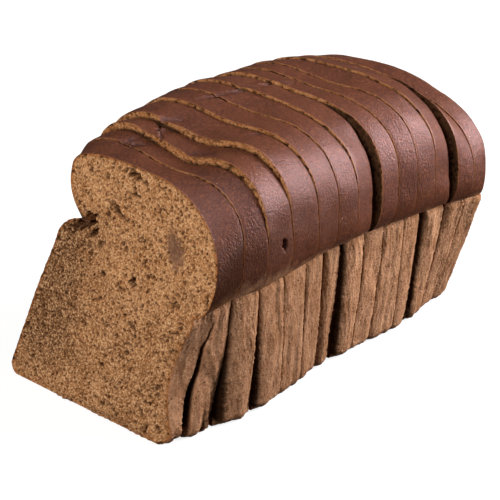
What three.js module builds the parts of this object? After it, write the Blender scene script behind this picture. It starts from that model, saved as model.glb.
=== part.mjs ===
// Sliced rye loaf: thirteen slices stood in a row, each cut from one tin-baked loaf.
// Millimetres, +Z up. The row runs along X: the cut end of the loaf faces -X, the heel faces +X.
// A slice is an outline in u (to the left, +Y) and v (up), swept from its front cut to its back cut.
import * as THREE from "three";

// Outline of a slice from the middle of the loaf, left and right alike.
const MIDDLE = {
  base: 40.5,
  wall: 47,
  notch: 46,
  notchHeight: 59,
  shoulder: 3,
  cap: 54,
  under: 15,
  square: 3,
  pinch: -0.6,
};
const MIDDLE_TOP = 110;
const BASE_RADIUS = 5;

// Outline of the cut end, which has slumped to the left.
const END_LEFT = {
  base: 58.5,
  wall: 46.5,
  notch: 28,
  notchHeight: 73.5,
  shoulder: 12.5,
  cap: 45.5,
  under: 17,
  square: 2.75,
  pinch: -0.6,
};
const END_RIGHT = {
  base: 34.5,
  wall: 37,
  notch: 36,
  notchHeight: 54.5,
  shoulder: 4,
  cap: 45.5,
  under: 14,
  square: 2.1,
  pinch: 5.5,
};
const END_TOP = 101;
const END_CORNER_BEND = 6;

// Cuts from front to back. Each states only what differs from a plain cut.
// at: place of the cut at the base. lean, turn: its angles from upright and from square, in degrees.
// shift: to the left. width, crown: factors on the middle outline. tip: slope of the crown.
// dip: sag of the crown. skew: sideways lean of the walls. slump: spread of the left foot.
// step: how far the slice in front stands lower. foot: how far the cut has opened low down.
// open: how far it has opened at the right of the cap. full: extra width of the walls.
// slim: how far the left of the cap is drawn in.
const PLAIN = { width: 0.985, tip: 0, dip: 0, step: 0.5, foot: 1, open: 0, full: 0, slim: 0 };
const CUTS = [
  { at: -10.5, lean: 17.5, turn: 0, shift: 0.5, skew: 0 },
  { at: 18, lean: 7, turn: 1, shift: 6, width: 0.955, crown: 0.9, dip: 3.5, skew: 0.13, slump: 15,
    foot: 3, full: 3, slim: 7 },
  { at: 38, lean: 0.5, turn: 1, shift: 4.5, width: 0.975, crown: 1.02, tip: -0.03, dip: 6.5, skew: 0.14,
    slump: 13, step: 3.5, foot: 2, full: 2.5, slim: 3 },
  { at: 52.5, lean: -1.5, turn: -2, shift: 5.5, crown: 1.07, tip: -0.055, dip: 6, skew: 0.11, slump: 9,
    step: 3, foot: 0.5, full: 2, slim: 1 },
  { at: 66.5, lean: -0.5, turn: -2.5, shift: 6, crown: 1.065, tip: -0.015, dip: 3.5, skew: 0.08, slump: 6,
    step: 1.5, foot: 0.5, full: 0.5 },
  { at: 78.5, lean: 0, turn: -3, shift: 7, crown: 1.06, tip: 0.005, dip: 3, skew: 0.05, slump: 4 },
  { at: 90, lean: 0, turn: -2.5, shift: 6, crown: 1.065, tip: 0.025, skew: 0.06, slump: 4, step: 1.2,
    foot: 3.5 },
  { at: 101, lean: 2.5, turn: -2.5, shift: 6, crown: 1.045, tip: 0.015, dip: 0.5, skew: 0.05, slump: 3,
    step: 1.5, foot: 0.5, open: 3 },
  { at: 112.5, lean: 1, turn: -2.5, shift: 5, crown: 1.055, dip: 1.5, skew: 0.03, slump: 2 },
  { at: 126.5, lean: -2, turn: -2.5, shift: 3, crown: 1.085, tip: -0.02, dip: 3, skew: 0.02, slump: 1,
    foot: 0.5 },
  { at: 139, lean: -2.5, turn: -1.5, shift: 2, crown: 1.07, tip: -0.025, dip: -0.5, skew: 0.01, slump: 0,
    step: 1, foot: 2, full: 0 },
  { at: 150.5, lean: -1.5, turn: -1.5, shift: 0.5, crown: 0.995, tip: 0.01, dip: -1, skew: -0.08, slump: -3,
    open: 3, full: 1 },
  { at: 161, lean: -2, turn: -1, shift: -1, crown: 0.895, tip: 0.08, skew: -0.14, slump: -6, full: 2 },
  { at: 173.5, lean: -3, turn: 0.5, shift: -0.5, crown: 0.87, tip: 0.035, dip: -3, skew: -0.14, slump: -6,
    full: 5 },
].map((cut) => ({ ...PLAIN, ...cut }));
const SLICES = CUTS.length - 1;
const CLEAR = 0.35;
const OPEN_GAP = 0.8;
const DIP_AT = -5;
const DIP_REACH = 20;
const CROWN_FROM = 58;

// Split low in the right side of the front slice, as parts of its thickness.
const SPLIT_TOP = 46;
const SPLIT_DEPTH = 13;
const SPLIT_HALF_WIDTH = 0.1;
const SPLIT_FOOT = 0.34;
const SPLIT_SLOPE = 0.0045;

// How the heel rounds off towards its back: part of its thickness, and how far drawn in there.
const HEEL = [[0, 0], [0.4, 0], [0.72, 0.5], [0.9, 2.4], [1, 6]];

const CRUST = { color: 0x6b432f, roughness: 0.6, metalness: 0 };
const CRUMB = { color: 0xc0905f, roughness: 0.95, metalness: 0 };

const QUARTER = Math.PI / 2;

function clamp01(value) {
  return Math.min(1, Math.max(0, value));
}

function arc(count, point) {
  const points = [];
  for (let i = 0; i < count; i += 1) {
    points.push(point((QUARTER * (i + 1)) / count));
  }
  return points;
}

// One side of the outline from the base up to the top of the cap, u counted outwards.
function halfOutline(side, top) {
  const wallTop = side.notchHeight - side.shoulder;
  const bulge = side.notchHeight + side.under;
  const foot = side.base - BASE_RADIUS;
  const points = [[foot, 0]];
  points.push(...arc(4, (a) => [
    foot + BASE_RADIUS * Math.sin(a),
    BASE_RADIUS - BASE_RADIUS * Math.cos(a),
  ]));
  for (let i = 1; i <= 5; i += 1) {
    const part = i / 5;
    const straight = side.base + (side.wall - side.base) * part;
    const height = BASE_RADIUS + (wallTop - BASE_RADIUS) * part;
    points.push([straight - side.pinch * Math.sin(Math.PI * part), height]);
  }
  points.push(...arc(4, (a) => [
    side.notch + (side.wall - side.notch) * Math.cos(a),
    wallTop + side.shoulder * Math.sin(a),
  ]));
  points.push(...arc(5, (a) => [
    side.notch + (side.cap - side.notch) * Math.sin(a),
    side.notchHeight + side.under * (1 - Math.cos(a)),
  ]));
  points.push(...arc(12, (a) => [
    side.cap * Math.max(Math.cos(a), 0) ** (2 / side.square),
    bulge + (top - bulge) * Math.sin(a) ** (2 / side.square),
  ]));
  return points;
}

// The whole outline, anticlockwise seen with u to the right and v up.
function outline(left, right, top) {
  const up = halfOutline(left, top);
  const down = halfOutline(right, top).map(([u, v]) => [-u, v]).reverse();
  return up.concat(down.slice(1));
}

function middleOutline(slump, full) {
  const right = { ...MIDDLE, wall: MIDDLE.wall + full, notch: MIDDLE.notch + full };
  const left = { ...right, base: MIDDLE.base + slump };
  return outline(left, right, MIDDLE_TOP);
}

// Where a cut lies along the row at a given u and v.
function cutAt(cut, u, v) {
  const lean = Math.tan(THREE.MathUtils.degToRad(cut.lean));
  const turn = Math.tan(THREE.MathUtils.degToRad(cut.turn));
  return cut.at + v * lean + u * turn;
}

// The outline as it shows on one cut: drop and tuck are nought for the slice behind the cut,
// and lower and narrow the back of the slice in front of it.
function shapeOnCut(cut, drop, tuck) {
  return middleOutline(cut.slump, cut.full).map(([u0, v0]) => {
    const inCap = clamp01((v0 - 60) / 30);
    const sag = cut.dip * Math.exp(-(((u0 * cut.width - DIP_AT) / DIP_REACH) ** 2));
    const aboveNotch = Math.max(v0 - CROWN_FROM, 0) * cut.crown;
    let u = u0 * cut.width;
    const v = Math.min(v0, CROWN_FROM) + aboveNotch + inCap * (cut.tip * u - sag - drop);
    u += tuck * clamp01((v0 - 55) / 20) * clamp01(-u / 45) ** 2;
    u -= cut.slim * clamp01((u - 20) / 30) * clamp01((100 - v0) / 25) * clamp01((v0 - 50) / 8);
    return [u, v];
  });
}

function placeOnCut(cut, shape, gap) {
  return shape.map(([u, v]) => new THREE.Vector3(
    cutAt(cut, u, v) - gap(u, v),
    cut.shift + u + cut.skew * Math.min(v - CROWN_FROM, 0),
    v,
  ));
}

function frontEndRing() {
  const shape = outline(END_LEFT, END_RIGHT, END_TOP);
  const bend = (u, v) => -END_CORNER_BEND * clamp01((-u - 5) / 30) ** 2 * clamp01(1 - v / 65);
  return placeOnCut(CUTS[0], shape, bend);
}

function frontRing(index) {
  if (index === 0) {
    return frontEndRing();
  }
  const cut = CUTS[index];
  return placeOnCut(cut, shapeOnCut(cut, 0, 0), () => 0);
}

function backRing(index) {
  const cut = CUTS[index + 1];
  if (index + 1 === SLICES) {
    return placeOnCut(cut, shapeOnCut(cut, 0, 0), () => 0);
  }
  const gap = (u, v) => {
    const right = clamp01((-u - 8) / 34) ** 2;
    const left = 0.5 * clamp01((u - 8) / 34) ** 2;
    const low = cut.foot * clamp01(1 - v / 64) * (right + left);
    const high = OPEN_GAP * cut.open * clamp01((v - 54) / 14) * right;
    return CLEAR + low + high;
  };
  return placeOnCut(cut, shapeOnCut(cut, cut.step, cut.open), gap);
}

function between(front, back, part) {
  return front.map((point, i) => point.clone().lerp(back[i], part(point)));
}

// The front slice is split from below on its right side: the middle ring of three is drawn inwards.
function splitRings(front, back) {
  const centre = (point) => SPLIT_FOOT + SPLIT_SLOPE * Math.min(point.z, SPLIT_TOP);
  const reach = (point) => SPLIT_HALF_WIDTH * (0.15 + clamp01(1 - point.z / SPLIT_TOP));
  const part = (side) => (point) => centre(point) + side * reach(point);
  const rings = [-1, 0, 1].map((side) => between(front, back, part(side)));
  rings[1].forEach((point) => {
    const right = clamp01((-point.y - 4) / 18);
    point.y += SPLIT_DEPTH * right * clamp01(1 - point.z / SPLIT_TOP) ** 0.8;
  });
  return [front, ...rings, back];
}

// The heel is drawn in towards its middle from ring to ring, and keeps its flat base.
function heelRings(front, back) {
  const centre = new THREE.Vector3();
  back.forEach((point) => centre.addScaledVector(point, 1 / back.length));
  return HEEL.map(([part, inset]) => between(front, back, () => part).map((point) => {
    const onBase = point.z < 0.01;
    const inwards = new THREE.Vector3(0, centre.y - point.y, onBase ? 0 : centre.z - point.z);
    return point.clone().addScaledVector(inwards, inset / Math.max(inwards.length(), 30));
  }));
}

function ringsOf(index) {
  const front = frontRing(index);
  const back = backRing(index);
  if (index === 0) {
    return splitRings(front, back);
  }
  if (index + 1 === SLICES) {
    return heelRings(front, back);
  }
  return [front, between(front, back, () => 0.5), back];
}

function endFace(ring) {
  const flat = ring.map((point) => new THREE.Vector2(point.y, point.z));
  return THREE.ShapeUtils.triangulateShape(flat, []);
}

// Skin over a run of rings, closed by a flat face at each end.
function skin(rings) {
  const count = rings[0].length;
  const faces = [];
  for (let r = 0; r + 1 < rings.length; r += 1) {
    for (let i = 0; i < count; i += 1) {
      const a = r * count + i;
      const b = r * count + ((i + 1) % count);
      faces.push(a, b, b + count, a, b + count, a + count);
    }
  }
  const last = (rings.length - 1) * count;
  endFace(rings[0]).forEach(([a, b, c]) => faces.push(a, c, b));
  endFace(rings[rings.length - 1]).forEach(([a, b, c]) => faces.push(last + a, last + b, last + c));
  const geometry = new THREE.BufferGeometry().setFromPoints(rings.flat());
  geometry.setIndex(faces);
  geometry.computeVertexNormals();
  return geometry;
}

// A slice is drawn round its own foot, the middle of its base on its front cut, and then put in its place.
function sliceMesh(index) {
  const foot = new THREE.Vector3(CUTS[index].at, CUTS[index].shift, 0);
  const geometry = skin(ringsOf(index)).translate(-foot.x, -foot.y, -foot.z);
  const material = new THREE.MeshStandardMaterial(index === 0 ? CRUMB : CRUST);
  const mesh = new THREE.Mesh(geometry, material);
  mesh.name = `slice_${String(index + 1).padStart(2, "0")}`;
  mesh.position.copy(foot);
  return mesh;
}

const row = new THREE.Group();
for (let index = 0; index < SLICES; index += 1) {
  row.add(sliceMesh(index));
}

// The row is moved so that the middle of its box stands over the origin.
const box = new THREE.Box3().setFromObject(row);
const middle = box.getCenter(new THREE.Vector3());
row.position.set(-middle.x, -middle.y, -box.min.z);

const loaf = new THREE.Group();
loaf.name = "sliced_rye_loaf";
loaf.add(row);

export default loaf;
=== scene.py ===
"""Looks of the sliced rye loaf: crust, walls and crumb, worked onto the outlines of the CAD slices.

Lengths are in millimetres until a mesh is made. X runs along the row of slices from the cut end to the heel,
Y to the left seen from the cut end and Z up, as in the frame.
"""
import math

import bpy
import numpy as np
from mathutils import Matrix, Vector
from mathutils.geometry import delaunay_2d_cdt
from mathutils.kdtree import KDTree


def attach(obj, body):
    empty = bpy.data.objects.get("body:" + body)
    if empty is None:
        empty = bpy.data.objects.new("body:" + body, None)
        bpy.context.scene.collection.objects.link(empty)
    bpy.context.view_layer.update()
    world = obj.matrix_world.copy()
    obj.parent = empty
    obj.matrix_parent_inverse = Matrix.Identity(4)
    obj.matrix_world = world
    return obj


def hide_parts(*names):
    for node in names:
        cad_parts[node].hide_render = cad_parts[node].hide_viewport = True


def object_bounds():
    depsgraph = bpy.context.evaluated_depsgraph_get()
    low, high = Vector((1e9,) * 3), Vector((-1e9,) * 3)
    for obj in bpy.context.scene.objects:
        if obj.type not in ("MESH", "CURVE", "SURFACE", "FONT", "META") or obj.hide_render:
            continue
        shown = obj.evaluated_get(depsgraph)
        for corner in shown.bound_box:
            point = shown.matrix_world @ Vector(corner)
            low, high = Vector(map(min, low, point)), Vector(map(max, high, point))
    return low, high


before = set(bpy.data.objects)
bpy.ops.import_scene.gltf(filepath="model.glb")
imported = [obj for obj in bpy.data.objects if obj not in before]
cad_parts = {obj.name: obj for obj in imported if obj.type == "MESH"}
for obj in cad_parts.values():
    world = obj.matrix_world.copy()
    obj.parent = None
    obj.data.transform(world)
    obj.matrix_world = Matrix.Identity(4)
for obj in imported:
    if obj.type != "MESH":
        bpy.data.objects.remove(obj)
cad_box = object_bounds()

MM = 0.001
SLICES = sorted(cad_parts)
FIRST = SLICES[0]
HEEL = SLICES[-1]

# Places on a slice's outline, counted from the left foot over the crown to the right foot.
CORNER = 4
WALL_TOP = 9
NOTCH = 13
BULGE = 18
CROWN = 30
LAST = 60

# Outline of a slice from the middle of the loaf, left and right alike, as in the CAD part.
MIDDLE = dict(
    base=40.5, wall=47, notch=46, notch_height=59, shoulder=3, cap=54, under=15, square=3, pinch=-0.6
)
MIDDLE_TOP = 110
BASE_RADIUS = 5

# Outline of the cut end, which has slumped to the left.
END_LEFT = dict(
    base=58.5, wall=46.5, notch=28, notch_height=73.5, shoulder=12.5, cap=45.5, under=17, square=2.75,
    pinch=-0.6
)
END_RIGHT = dict(
    base=34.5, wall=37, notch=36, notch_height=54.5, shoulder=4, cap=45.5, under=14, square=2.1, pinch=5.5
)
END_TOP = 101
END_CORNER_BEND = 6
END_BEND_WIDTHS = (5, 35)
END_BEND_HEIGHTS = (65, 0)

# Cuts from front to back, as in the CAD part. Each states only what differs from a plain cut.
# at: place of the cut at the base. lean, turn: its angles from upright and from square, in degrees.
# shift: to the left. width, crown: factors on the middle outline. tip: slope of the crown.
# dip: sag of the crown. skew: sideways lean of the walls. slump: spread of the left foot.
# step: how far the slice in front stands lower. foot: how far the cut has opened low down.
# open: how far it has opened at the right of the cap. full: extra width of the walls.
# slim: how far the left of the cap is drawn in.
PLAIN = dict(width=0.985, tip=0, dip=0, step=0.5, foot=1, open=0, full=0, slim=0)
CUTS = [
    dict(at=-10.5, lean=17.5, turn=0, shift=0.5, skew=0),
    dict(at=18, lean=7, turn=1, shift=6, width=0.955, crown=0.9, dip=3.5, skew=0.13, slump=15,
         foot=3, full=3, slim=7),
    dict(at=38, lean=0.5, turn=1, shift=4.5, width=0.975, crown=1.02, tip=-0.03, dip=6.5, skew=0.14,
         slump=13, step=3.5, foot=2, full=2.5, slim=3),
    dict(at=52.5, lean=-1.5, turn=-2, shift=5.5, crown=1.07, tip=-0.055, dip=6, skew=0.11, slump=9,
         step=3, foot=0.5, full=2, slim=1),
    dict(at=66.5, lean=-0.5, turn=-2.5, shift=6, crown=1.065, tip=-0.015, dip=3.5, skew=0.08, slump=6,
         step=1.5, foot=0.5, full=0.5),
    dict(at=78.5, lean=0, turn=-3, shift=7, crown=1.06, tip=0.005, dip=3, skew=0.05, slump=4),
    dict(at=90, lean=0, turn=-2.5, shift=6, crown=1.065, tip=0.025, skew=0.06, slump=4, step=1.2, foot=3.5),
    dict(at=101, lean=2.5, turn=-2.5, shift=6, crown=1.045, tip=0.015, dip=0.5, skew=0.05, slump=3,
         step=1.5, foot=0.5, open=3),
    dict(at=112.5, lean=1, turn=-2.5, shift=5, crown=1.055, dip=1.5, skew=0.03, slump=2),
    dict(at=126.5, lean=-2, turn=-2.5, shift=3, crown=1.085, tip=-0.02, dip=3, skew=0.02, slump=1, foot=0.5),
    dict(at=139, lean=-2.5, turn=-1.5, shift=2, crown=1.07, tip=-0.025, dip=-0.5, skew=0.01, slump=0,
         step=1, foot=2),
    dict(at=150.5, lean=-1.5, turn=-1.5, shift=0.5, crown=0.995, tip=0.01, dip=-1, skew=-0.08, slump=-3,
         open=3, full=1),
    dict(at=161, lean=-2, turn=-1, shift=-1, crown=0.895, tip=0.08, skew=-0.14, slump=-6, full=2),
    dict(at=173.5, lean=-3, turn=0.5, shift=-0.5, crown=0.87, tip=0.035, dip=-3, skew=-0.14, slump=-6,
         full=5),
]
# The least gap between slices, how much of a cut's opening shows along the row, where and how widely the
# crown sags, the height from which its factor counts, the least foot of an open cut, and the gap left between
# walls that touch.
CLEAR = 0.35
OPEN_GAP = 0.8
DIP_AT = -5
DIP_REACH = 20
CROWN_FROM = 58
OPEN_FOOT = 1.5
TOUCH = 0.25
# Heights, and widths from the middle, between which what a cut states sets in.
CAP_HEIGHTS = (60, 90)
TUCK_HEIGHTS = (55, 75)
TUCK_WIDTHS = (0, 45)
SLIM_WIDTHS = (20, 50)
SLIM_TOP = (100, 75)
SLIM_FOOT = (50, 58)
GAP_WIDTHS = (8, 42)
GAP_LEFT = 0.5
FOOT_HEIGHTS = (64, 0)
OPEN_HEIGHTS = (54, 68)
# Places on the outline between which walls that touch the next slice begin and end.
TOUCH_FOOT = (1, 4)
TOUCH_TOP = (NOTCH - 1, NOTCH + 2)

# How the heel is drawn in towards its back, and its back domed.
HEEL_INSET = 2.5
HEEL_ROUND_FROM = 0.3
HEEL_ROUND_POWER = 9
HEEL_FOOT = (0, 4)
HEEL_REACH = 30
HEEL_RINGS = 70
HEEL_CROWD = 1.3
HEEL_DOME = 1.3
HEEL_DOME_PART = (0, 0.12)
HEEL_RIM_PART = (0, 0.05)
HEEL_SWELL = 0.14
HEEL_CRUST_HEIGHTS = (58, 64)
HEEL_CRUST_UNEVEN = 0.6

# How finely the slices are meshed.
DENSE_PLACES = 60
COARSE_PLACES = 8
ROUND_PITCH = 0.85
ACROSS_PITCH = 0.42
ACROSS_LEAST = 12
EDGE_CROWD = 0.4
BASE_STEPS = 24
FACE_PITCH = 0.37
FACE_JITTER = 0.3
FACE_SEED = 20
FACE_MERGE = 1e-4
RIM_STEPS = (0.4, 0.8, 1.3, 1.8, 2.4, 3, 3.7, 4.5, 6, 9, 15, 25)
BACK_STEPS = (1.5, 4, 10, 22)
INMOST = 0.9
NOISE_SIDE = 512
NOISE_FINENESS = 6
NOISE_SPREAD = 0.5
SMALL = 1e-9

# Places on the outline between which the walls' relief begins and ends and the cap's begins.
WALL_FOOT = (-0.6, 2)
WALL_END = (NOTCH - 2, NOTCH + 0.5)
CAP_START = (NOTCH, NOTCH + 4)
# Relief of the walls: how far the folds sway, how noise is stretched along and up, and the heights.
SWAY = 1.2
SWAY_ALONG = 3
SWAY_UP = 6
FOLD_UP = 9
FIBRE_UP = 4
FOLD_HEIGHT = 0.2
FIBRE_HEIGHT = 0.05
ROUGH_HEIGHT = 0.1
# Folds of the first slice, which are strong on the right away from the cut end.
FIRST_FOLD_LEAST = 0.1
FIRST_FOLD_MORE = 0.3
FIRST_FOLD_ACROSS = (0.5, 4)
FIRST_FOLD_RIGHT = (5, -25)
# Relief of the crust.
CAP_SWELL = 0.1
CAP_LUMP = 0.012
CAP_GRAIN = 0.022

# Heights between which the grooves between the walls change, how ragged they are, the step in the noise from
# one cut to the next, and the depths over which painted shade darkens them.
GROOVE_HEIGHTS = (60, 6)
GROOVE_RAGGED = 0.07
GROOVE_ROW = 7
GROOVE_SHADE = (0.5, 2.2)
# Grooves by the number of the cut: how far the edges fall away at the top of the wall and at its foot, and
# how far in from the cut that reaches at the top and at the foot.
PLAIN_GROOVE = (0.35, 0.6, 1.0, 1.3)
GROOVES = {
    1: (0.8, 5, 0.9, 3.2),
    2: (0.9, 4, 0.7, 2.2),
    5: (1.1, 1.2, 1.2, 1.3),
    6: (3.2, 4, 1.7, 2.1),
    7: (0.9, 0.8, 1.5, 1.5),
    10: (2.6, 3.6, 1.4, 2),
    11: (1.2, 1, 1.5, 1.3),
}
# Places on the outline from which the crust begins and over which it fades in, by the number of the slice.
CRUST_FADE = (13.7, 1.0)
CRUST_FADES = {0: (14, 3.2), 1: (14, 3), 2: (14, 2.6), 3: (14, 1.8), 4: (14, 1.6), 5: (14, 1.5)}
CRUST_UNEVEN = 0.3
# Where and how far painted shade darkens the crust low on the cap, where it faces away from the light, by the
# number of the slice.
LOW_CAP = (BULGE + 6, BULGE)
CAP_SHADES = {0: 0.75, 1: 0.3, 2: 0.25, 3: 0.2, 4: 0.2}
# How much darker painted shade makes the walls of some slices, where less light falls on them.
WALL_SHADES = {1: 0.1, 2: 0.2, 3: 0.24, 4: 0.24, 5: 0.16}
# How the crust rounds over at a cut, and how far from the cut its pale edge reaches.
CAP_EDGE_ROUND = 0.25
CAP_EDGE_REACH = 0.7
EDGE_FADE = (0.1, 0.5)

# Split low in the right wall of the first slice, across its thickness as parts of it.
SPLIT_TOP = 52
SPLIT_DEPTH = 12
SPLIT_FOOT = 0.34
SPLIT_SLOPE = 0.0045
SPLIT_HALF_WIDTH = 0.12
SPLIT_TIP = 0.12
SPLIT_WANDER = 0.012
SPLIT_WANDER_UP = 4
SPLIT_TAPER = 0.6
SPLIT_ROUND = 0.8
SPLIT_RIGHT = (4, 22)
# Depths over which painted shade darkens the split.
SPLIT_SHADE = (0.5, 5)

# Hole in the right of the third slice's crust: x, z, half width along the row, half height, depth.
CRUST_HOLE = (-34.6, 76.6, 1.3, 2.3, 5)
HOLE_SLICE = SLICES[2]
HOLE_RIGHT = -30
HOLE_RAGGED = 0.15
HOLE_FINENESS = 2
HOLE_WALL = (0.45, 1.15)
# Depths over which painted shade darkens the hole.
HOLE_SHADE = (0.3, 3)

# How far up the crust faces where it holds cracks and dents, and how far a crack wanders.
UPWARD = 0.5
CRACK_WANDER = 0.5
# Cracks and creases on top of the crust: from x, y to x, y, half width, depth.
CRACKS = [
    ((-50, 26), (-47, 18), 1.5, 0.7),
    ((-47, 25), (-50, 20), 0.9, 0.8),
    ((-33, 21), (-42, 11), 0.9, 1.4),
    ((-33, 21), (-28, 14), 1.0, 0.9),
    ((-41, -5), (-38, -14), 2.0, 0.7),
    ((-12, 21), (5, 14), 1.1, 0.8),
    ((5, 15), (7, 13), 1.0, 1.6),
    ((7, 17), (15, 10), 1.0, 0.7),
    ((19, 13), (22, 12), 1.0, 1.5),
    ((26, 9), (28, 5), 0.8, 0.9),
    ((-19, -18), (-17, -20), 1.0, 1.0),
]
# Shallow dents in the crust: x, y, radius, depth.
DENTS = [(-48, 22, 6, 0.9), (-39, 19, 9, 1.6), (-39, -10, 8, 0.8), (-30, 16, 6, 0.7)]

# How ragged the holes in the cut face are, where their walls lie, and the depths over which painted shade
# darkens them.
FACE_HOLE_RAGGED = 0.22
FACE_HOLE_WALL = (0.55, 1.2)
FACE_HOLE_SHADE = (0.2, 1.2)
# Holes in the cut face: y, z, half length, half width, turn in degrees, depth.
FACE_HOLES = [
    (6.5, 97, 4.2, 1.2, -5, 4),
    (12.5, 81.5, 4, 1.4, 32, 3),
    (16, 78, 2, 1, 60, 2),
    (-3.5, 57.5, 2.4, 1.7, 70, 4),
    (13.5, 55, 1.5, 1.2, 60, 3.5),
    (29.5, 71.2, 8, 2.8, -32, 4),
    (23, 69, 3, 1.3, -40, 2.5),
    (-44.5, 62.5, 3, 0.8, 75, 4),
    (-9, 3.5, 4.5, 0.9, 60, 1.8),
    (4, 90, 3.5, 0.8, 5, 1.5),
]
# Smooth pressed patch in the cut face: y, z, half width, half height, turn in degrees.
FACE_PATCH = (-22.5, 76.5, 4.6, 8.8, -30)
PATCH_RAGGED = 0.15
PATCH_EDGE = (0.5, 1.15)
PATCH_DEPTH = 0.6
PATCH_PORES_LOST = 0.8
# Slow unevenness of the cut face, and how it runs into the rim.
FACE_SWELL = 0.3
FACE_RIM = (0, 0.6)
FACE_LEVEL = (0, 4)
# Painted shade on the cut face: its darker left and its darker foot, where less light falls.
DARK_ACROSS = (4, 40)
DARK_TOP = (84, 66)
DARK_FOOT = (-8, 22)
DARK_WANDER = 3
DARK_LOW = 0.3
DARK_LOW_HEIGHTS = (75, 20)
# Pores of the crumb: the field they lie in, pores for each square millimetre, half width and its spread,
# and how many pores near a place are looked at.
PORE_FIELD = ((-62, 62), (-2, 118))
PORE_DENSITY = 0.3
PORE_SIZE = 0.31
PORE_SPREAD = 0.4
PORE_NEAR = 4
# The seed of their places, the limits of their half width, their greatest length for a width of 1, their
# depth and where their walls lie, and the depth and walls of the finest pores.
PORE_SEED = 30
PORE_LIMITS = (0.15, 1)
PORE_LONGEST = 1.9
PORE_DEPTH = 1.3
PORE_WALL = (0.6, 1.3)
FINE_PORE_DEPTH = 0.4
FINE_PORE_WALL = (0.7, 1.5)
# How brown the crumb is on the faces between the slices, and where the brown rim of the cut face ends.
RIM_TINT = 0.6
CRUST_RIM = (0.35, 1.4)
RIM_UNEVEN = 0.2
# How the painted shadow sets in behind the slice in front, and where to the right an opened gap adds to it.
SHADOW_SPAN = (-0.4, 1.2)
SHADOW_RIGHT = (-8, -40)

# Noise in the materials: size of its bumps, detail, roughness and, where it isn't even, its stretch.
CRUMB_BLOTCH = (8, 3)
CRUMB_FINE = (0.9, 3, 0.65)
WALL_BLOTCH = (9, 2)
WALL_STREAK = (3.2, 3, 0.6, (1, 1, 0.5))
WALL_FINE = (0.9, 3, 0.65)
CRUST_BLOTCH = (14, 3)
CRUST_MOTTLE = (1.1, 3, 0.65)
CRUST_FINE = (0.7, 3, 0.6)
# Dots in the materials: how far apart they lie, and their size as a part of that.
CRUMB_SMALL_DOTS = (1.9, 0.3)
CRUMB_LARGE_DOTS = (3.7, 0.22)
SMALL_DOTS_PART = 0.8
WALL_DOTS = (2.2, 0.22)
CRUST_LARGE_DOTS = (4.2, 0.08)
CRUST_SMALL_DOTS = (2.3, 0.07)
DOT_CORE = 0.5
# Bumps of the crumb and of the crust and walls: their depth and strength.
CRUMB_BUMP = (0.6, 0.8)
CRUST_BUMP = (0.42, 0.8)

# Ground colours, as screen values of 0 to 255, and the span of the noise that leads from one to the other.
CRUMB_TAN = (190, 132, 84)
CRUMB_LIGHT = (216, 158, 108)
CRUMB_SPAN = (0.35, 0.65)
WALL_BROWN = (166, 118, 86)
WALL_TAN = (190, 141, 108)
WALL_SPAN = (0.35, 0.65)
CRUST_DARK = (80, 39, 18)
CRUST_BROWN = (98, 51, 26)
CRUST_SPAN = (0.3, 0.7)
DARK_GRAIN_SPAN = (0.58, 0.44)
# Colours laid over them: how strongly, and the span of the noise over which they set in.
CRUMB_FLECK = dict(screen=(250, 204, 156), strength=0.8, span=(0.52, 0.66))
CRUMB_FINE_DARK = dict(screen=(104, 60, 28), strength=0.6, span=(0.48, 0.36))
# Painted shade on the left and at the foot of the cut face.
CRUMB_PAINTED_SHADE_GRAIN = dict(screen=(52, 26, 12), strength=0.7)
CRUMB_PAINTED_SIDE_SHADE = dict(screen=(66, 38, 24), strength=0.25)
CRUMB_RIM = dict(screen=(160, 92, 40), strength=0.7)
CRUMB_DOT = dict(screen=(70, 34, 10), strength=0.8)
# Painted shadow on the crumb in the gap behind the slice in front.
CRUMB_PAINTED_SHADOW = dict(screen=(40, 22, 12), strength=0.9)
PATCH_GREY = dict(screen=(114, 80, 66), strength=0.78)
# Painted shade in the pores and holes of the crumb, by their depth.
PORE_PAINTED_SHADE = dict(screen=(58, 27, 8), strength=0.85)
WALL_PALE = dict(screen=(212, 164, 126), strength=0.5, span=(0.52, 0.68))
WALL_DARK = dict(screen=(126, 84, 54), strength=0.55, span=(0.48, 0.34))
WALL_FLECK = dict(screen=(236, 190, 150), strength=0.5, span=(0.56, 0.68))
WALL_FINE_DARK = dict(screen=(92, 56, 34), strength=0.45, span=(0.45, 0.36))
WALL_DOT = dict(screen=(66, 38, 22), strength=0.75)
CRUST_PALE_MOTTLE = dict(screen=(134, 78, 46), strength=0.75, span=(0.52, 0.68))
CRUST_DARK_MOTTLE = dict(screen=(56, 27, 13), strength=0.7, span=(0.48, 0.36))
CRUST_DOT = dict(screen=(206, 158, 126), strength=0.7)
# Painted shade in the cracks and the hole of the crust.
CRACK_PAINTED_SHADE = dict(screen=(50, 26, 18), strength=0.75)
# Painted shade in the grooves, the split, low on the cap and on the walls of some slices.
SKIN_PAINTED_SHADE = dict(screen=(40, 22, 11), strength=0.94)
CUT_EDGE = dict(screen=(164, 104, 62), strength=0.55)
WHITE = (1, 1, 1, 1)

# Roughness and shine of the crumb, the walls and the crust, and the tint of the crust's shine.
CRUMB_ROUGHNESS = 0.95
CRUMB_SHINE = 0.12
WALL_ROUGHNESS = 0.95
WALL_SHINE = 0.1
CRUST_ROUGHNESS = 0.45
CRUST_SHINE = 1.0
CRUST_SHINE_SPAN = (0.2, 0.9)
CRUST_SHINE_TINT = (1, 0.66, 0.7, 1)

# Camera: where it stands, and the place in the middle of its picture.
CAMERA_AT = (-532.1, -516.4, 421.2)
CAMERA_AIM = (-6.4, -4.1, 47.7)
CAMERA_LENS = 139.4
CAMERA_SENSOR = 36

# The white room round the loaf and how far the camera sees, in metres.
STUDIO_HALF = 5
STUDIO_HEIGHT = 4
CAMERA_FAR = 20
FLOOR_GREY = (0.3, 0.3, 0.3, 1)
FLOOR_GLOW = 0.8
SKY_HEIGHTS = (-0.3, 0.5)
SKY_STRENGTHS = (0.04, 0.08)

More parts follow.
